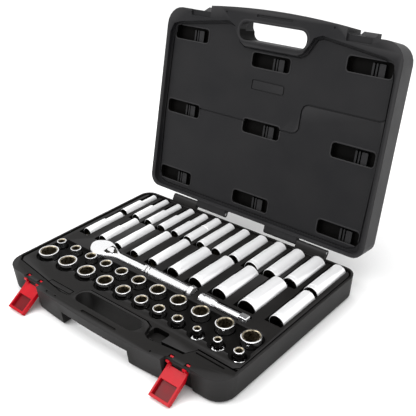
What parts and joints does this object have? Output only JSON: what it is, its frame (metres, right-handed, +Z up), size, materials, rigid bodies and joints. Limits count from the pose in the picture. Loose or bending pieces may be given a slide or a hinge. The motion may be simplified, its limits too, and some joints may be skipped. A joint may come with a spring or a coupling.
{
  "type": "socket wrench set in case",
  "caption": "Open blow-moulded carrying case with a moulded tray of shallow and deep chrome sockets, a reversible ratchet and an extension bar; hinged lid, two swing latches, handle.",
  "frame": {"origin": "on the ground in the middle of the case base, halfway along the hinge and halfway from front to back of the straight rim", "axes": "+X along the hinge to the right as seen from the handle side, +Y towards the hinge, +Z up"},
  "size_m": [0.39, 0.4234, 0.3343],
  "materials": {
    "case": "black blow-moulded polyethylene with a fine satin grain",
    "latch": "bright red injection-moulded plastic, semi-gloss",
    "chrome": "polished chrome plate, brushed inside the broached mouths",
    "steel": "bare machined steel",
    "pin": "drawn steel wire pin"
  },
  "bodies": {
    "case": {"case_base": "case", "hinge_pin_left": "pin", "hinge_pin_right": "pin"},
    "lid": {"case_lid": "case"},
    "latch_left": {"latch_left": "latch"},
    "latch_right": {"latch_right": "latch"},
    "ratchet": {"ratchet_body": "chrome", "ratchet_cover_plate": "steel", "ratchet_retaining_ring": "steel"},
    "ratchet_drive": {"ratchet_gear": "steel", "ratchet_drive_ball": "steel"},
    "ratchet_pawl": {"ratchet_pawl": "steel"},
    "ratchet_lever": {"ratchet_lever": "chrome"},
    "extension": {"extension_bar": "chrome", "extension_ball": "steel"},
    "socket_shallow_back_01": {"socket_shallow_back_01": "chrome"},
    "socket_shallow_back_02": {"socket_shallow_back_02": "chrome"},
    "socket_shallow_back_03": {"socket_shallow_back_03": "chrome"},
    "socket_shallow_back_04": {"socket_shallow_back_04": "chrome"},
    "socket_shallow_back_05": {"socket_shallow_back_05": "chrome"},
    "socket_shallow_back_06": {"socket_shallow_back_06": "chrome"},
    "socket_shallow_back_07": {"socket_shallow_back_07": "chrome"},
    "socket_shallow_back_08": {"socket_shallow_back_08": "chrome"},
    "socket_shallow_back_09": {"socket_shallow_back_09": "chrome"},
    "socket_shallow_back_10": {"socket_shallow_back_10": "chrome"},
    "socket_shallow_back_11": {"socket_shallow_back_11": "chrome"},
    "socket_shallow_front_01": {"socket_shallow_front_01": "chrome"},
    "socket_shallow_front_02": {"socket_shallow_front_02": "chrome"},
    "socket_shallow_front_03": {"socket_shallow_front_03": "chrome"},
    "socket_shallow_front_04": {"socket_shallow_front_04": "chrome"},
    "socket_shallow_front_05": {"socket_shallow_front_05": "chrome"},
    "socket_shallow_front_06": {"socket_shallow_front_06": "chrome"},
    "socket_shallow_front_07": {"socket_shallow_front_07": "chrome"},
    "socket_shallow_front_08": {"socket_shallow_front_08": "chrome"},
    "socket_shallow_front_09": {"socket_shallow_front_09": "chrome"},
    "socket_shallow_front_10": {"socket_shallow_front_10": "chrome"},
    "socket_shallow_front_11": {"socket_shallow_front_11": "chrome"},
    "socket_deep_back_01": {"socket_deep_back_01": "chrome"},
    "socket_deep_back_02": {"socket_deep_back_02": "chrome"},
    "socket_deep_back_03": {"socket_deep_back_03": "chrome"},
    "socket_deep_back_04": {"socket_deep_back_04": "chrome"},
    "socket_deep_back_05": {"socket_deep_back_05": "chrome"},
    "socket_deep_back_06": {"socket_deep_back_06": "chrome"},
    "socket_deep_back_07": {"socket_deep_back_07": "chrome"},
    "socket_deep_back_08": {"socket_deep_back_08": "chrome"},
    "socket_deep_back_09": {"socket_deep_back_09": "chrome"},
    "socket_deep_back_10": {"socket_deep_back_10": "chrome"},
    "socket_deep_back_11": {"socket_deep_back_11": "chrome"},
    "socket_deep_back_12": {"socket_deep_back_12": "chrome"},
    "socket_deep_back_13": {"socket_deep_back_13": "chrome"},
    "socket_deep_front_01": {"socket_deep_front_01": "chrome"},
    "socket_deep_front_02": {"socket_deep_front_02": "chrome"},
    "socket_deep_front_03": {"socket_deep_front_03": "chrome"},
    "socket_deep_front_04": {"socket_deep_front_04": "chrome"},
    "socket_deep_front_05": {"socket_deep_front_05": "chrome"},
    "socket_deep_front_06": {"socket_deep_front_06": "chrome"},
    "socket_deep_front_07": {"socket_deep_front_07": "chrome"},
    "socket_deep_front_08": {"socket_deep_front_08": "chrome"},
    "socket_deep_front_09": {"socket_deep_front_09": "chrome"},
    "socket_deep_front_10": {"socket_deep_front_10": "chrome"}
  },
  "joints": [
    {"name": "lid_hinge", "type": "hinge", "parent": "case", "child": "lid", "pos_m": [0, 0.1475, 0.0394], "axis": [-1, 0, 0], "range_deg": [-103.9, 0]},
    {"name": "latch_left_swing", "type": "hinge", "parent": "case", "child": "latch_left", "pos_m": [-0.131, -0.1384, 0.0322], "axis": [1, 0, 0], "range_deg": [-123, 0]},
    {"name": "latch_right_swing", "type": "hinge", "parent": "case", "child": "latch_right", "pos_m": [0.131, -0.1384, 0.0322], "axis": [1, 0, 0], "range_deg": [-123, 0]},
    {"name": "drive_spin", "type": "hinge", "parent": "ratchet", "child": "ratchet_drive", "pos_m": [-0.118, -0.0285, 0.033], "axis": [0, 0, 1], "continuous": true},
    {"name": "lever_flip", "type": "hinge", "parent": "ratchet", "child": "ratchet_lever", "pos_m": [-0.1, -0.0285, 0.033], "axis": [0, 0, 1], "range_deg": [0, 60]},
    {"name": "pawl_tilt", "type": "hinge", "parent": "ratchet", "child": "ratchet_pawl", "pos_m": [-0.1, -0.0285, 0.033], "axis": [0, 0, 1], "range_deg": [-18, 0]},
    {"name": "ratchet_lift", "type": "slide", "parent": "case", "child": "ratchet", "axis": [0, 0, 1], "range_m": [0, 0.045]},
    {"name": "extension_lift", "type": "slide", "parent": "case", "child": "extension", "axis": [0, 0, 1], "range_m": [0, 0.045]},
    {"name": "socket_shallow_back_01_lift", "type": "slide", "parent": "case", "child": "socket_shallow_back_01", "axis": [0, 0, 1], "range_m": [0, 0.045]},
    {"name": "socket_shallow_back_02_lift", "type": "slide", "parent": "case", "child": "socket_shallow_back_02", "axis": [0, 0, 1], "range_m": [0, 0.045]},
    {"name": "socket_shallow_back_03_lift", "type": "slide", "parent": "case", "child": "socket_shallow_back_03", "axis": [0, 0, 1], "range_m": [0, 0.045]},
    {"name": "socket_shallow_back_04_lift", "type": "slide", "parent": "case", "child": "socket_shallow_back_04", "axis": [0, 0, 1], "range_m": [0, 0.045]},
    {"name": "socket_shallow_back_05_lift", "type": "slide", "parent": "case", "child": "socket_shallow_back_05", "axis": [0, 0, 1], "range_m": [0, 0.045]},
    {"name": "socket_shallow_back_06_lift", "type": "slide", "parent": "case", "child": "socket_shallow_back_06", "axis": [0, 0, 1], "range_m": [0, 0.045]},
    {"name": "socket_shallow_back_07_lift", "type": "slide", "parent": "case", "child": "socket_shallow_back_07", "axis": [0, 0, 1], "range_m": [0, 0.045]},
    {"name": "socket_shallow_back_08_lift", "type": "slide", "parent": "case", "child": "socket_shallow_back_08", "axis": [0, 0, 1], "range_m": [0, 0.045]},
    {"name": "socket_shallow_back_09_lift", "type": "slide", "parent": "case", "child": "socket_shallow_back_09", "axis": [0, 0, 1], "range_m": [0, 0.045]},
    {"name": "socket_shallow_back_10_lift", "type": "slide", "parent": "case", "child": "socket_shallow_back_10", "axis": [0, 0, 1], "range_m": [0, 0.045]},
    {"name": "socket_shallow_back_11_lift", "type": "slide", "parent": "case", "child": "socket_shallow_back_11", "axis": [0, 0, 1], "range_m": [0, 0.045]},
    {"name": "socket_shallow_front_01_lift", "type": "slide", "parent": "case", "child": "socket_shallow_front_01", "axis": [0, 0, 1], "range_m": [0, 0.045]},
    {"name": "socket_shallow_front_02_lift", "type": "slide", "parent": "case", "child": "socket_shallow_front_02", "axis": [0, 0, 1], "range_m": [0, 0.045]},
    {"name": "socket_shallow_front_03_lift", "type": "slide", "parent": "case", "child": "socket_shallow_front_03", "axis": [0, 0, 1], "range_m": [0, 0.045]},
    {"name": "socket_shallow_front_04_lift", "type": "slide", "parent": "case", "child": "socket_shallow_front_04", "axis": [0, 0, 1], "range_m": [0, 0.045]},
    {"name": "socket_shallow_front_05_lift", "type": "slide", "parent": "case", "child": "socket_shallow_front_05", "axis": [0, 0, 1], "range_m": [0, 0.045]},
    {"name": "socket_shallow_front_06_lift", "type": "slide", "parent": "case", "child": "socket_shallow_front_06", "axis": [0, 0, 1], "range_m": [0, 0.045]},
    {"name": "socket_shallow_front_07_lift", "type": "slide", "parent": "case", "child": "socket_shallow_front_07", "axis": [0, 0, 1], "range_m": [0, 0.045]},
    {"name": "socket_shallow_front_08_lift", "type": "slide", "parent": "case", "child": "socket_shallow_front_08", "axis": [0, 0, 1], "range_m": [0, 0.045]},
    {"name": "socket_shallow_front_09_lift", "type": "slide", "parent": "case", "child": "socket_shallow_front_09", "axis": [0, 0, 1], "range_m": [0, 0.045]},
    {"name": "socket_shallow_front_10_lift", "type": "slide", "parent": "case", "child": "socket_shallow_front_10", "axis": [0, 0, 1], "range_m": [0, 0.045]},
    {"name": "socket_shallow_front_11_lift", "type": "slide", "parent": "case", "child": "socket_shallow_front_11", "axis": [0, 0, 1], "range_m": [0, 0.045]},
    {"name": "socket_deep_back_01_lift", "type": "slide", "parent": "case", "child": "socket_deep_back_01", "axis": [0, 0, 1], "range_m": [0, 0.045]},
    {"name": "socket_deep_back_02_lift", "type": "slide", "parent": "case", "child": "socket_deep_back_02", "axis": [0, 0, 1], "range_m": [0, 0.045]},
    {"name": "socket_deep_back_03_lift", "type": "slide", "parent": "case", "child": "socket_deep_back_03", "axis": [0, 0, 1], "range_m": [0, 0.045]},
    {"name": "socket_deep_back_04_lift", "type": "slide", "parent": "case", "child": "socket_deep_back_04", "axis": [0, 0, 1], "range_m": [0, 0.045]},
    {"name": "socket_deep_back_05_lift", "type": "slide", "parent": "case", "child": "socket_deep_back_05", "axis": [0, 0, 1], "range_m": [0, 0.045]},
    {"name": "socket_deep_back_06_lift", "type": "slide", "parent": "case", "child": "socket_deep_back_06", "axis": [0, 0, 1], "range_m": [0, 0.045]},
    {"name": "socket_deep_back_07_lift", "type": "slide", "parent": "case", "child": "socket_deep_back_07", "axis": [0, 0, 1], "range_m": [0, 0.045]},
    {"name": "socket_deep_back_08_lift", "type": "slide", "parent": "case", "child": "socket_deep_back_08", "axis": [0, 0, 1], "range_m": [0, 0.045]},
    {"name": "socket_deep_back_09_lift", "type": "slide", "parent": "case", "child": "socket_deep_back_09", "axis": [0, 0, 1], "range_m": [0, 0.045]},
    {"name": "socket_deep_back_10_lift", "type": "slide", "parent": "case", "child": "socket_deep_back_10", "axis": [0, 0, 1], "range_m": [0, 0.045]},
    {"name": "socket_deep_back_11_lift", "type": "slide", "parent": "case", "child": "socket_deep_back_11", "axis": [0, 0, 1], "range_m": [0, 0.045]},
    {"name": "socket_deep_back_12_lift", "type": "slide", "parent": "case", "child": "socket_deep_back_12", "axis": [0, 0, 1], "range_m": [0, 0.045]},
    {"name": "socket_deep_back_13_lift", "type": "slide", "parent": "case", "child": "socket_deep_back_13", "axis": [0, 0, 1], "range_m": [0, 0.045]},
    {"name": "socket_deep_front_01_lift", "type": "slide", "parent": "case", "child": "socket_deep_front_01", "axis": [0, 0, 1], "range_m": [0, 0.045]},
    {"name": "socket_deep_front_02_lift", "type": "slide", "parent": "case", "child": "socket_deep_front_02", "axis": [0, 0, 1], "range_m": [0, 0.045]},
    {"name": "socket_deep_front_03_lift", "type": "slide", "parent": "case", "child": "socket_deep_front_03", "axis": [0, 0, 1], "range_m": [0, 0.045]},
    {"name": "socket_deep_front_04_lift", "type": "slide", "parent": "case", "child": "socket_deep_front_04", "axis": [0, 0, 1], "range_m": [0, 0.045]},
    {"name": "socket_deep_front_05_lift", "type": "slide", "parent": "case", "child": "socket_deep_front_05", "axis": [0, 0, 1], "range_m": [0, 0.045]},
    {"name": "socket_deep_front_06_lift", "type": "slide", "parent": "case", "child": "socket_deep_front_06", "axis": [0, 0, 1], "range_m": [0, 0.045]},
    {"name": "socket_deep_front_07_lift", "type": "slide", "parent": "case", "child": "socket_deep_front_07", "axis": [0, 0, 1], "range_m": [0, 0.045]},
    {"name": "socket_deep_front_08_lift", "type": "slide", "parent": "case", "child": "socket_deep_front_08", "axis": [0, 0, 1], "range_m": [0, 0.045]},
    {"name": "socket_deep_front_09_lift", "type": "slide", "parent": "case", "child": "socket_deep_front_09", "axis": [0, 0, 1], "range_m": [0, 0.045]},
    {"name": "socket_deep_front_10_lift", "type": "slide", "parent": "case", "child": "socket_deep_front_10", "axis": [0, 0, 1], "range_m": [0, 0.045]}
  ],
  "couplings": [
    {"joint": "pawl_tilt", "follows": "lever_flip", "ratio": -0.3}
  ]
}
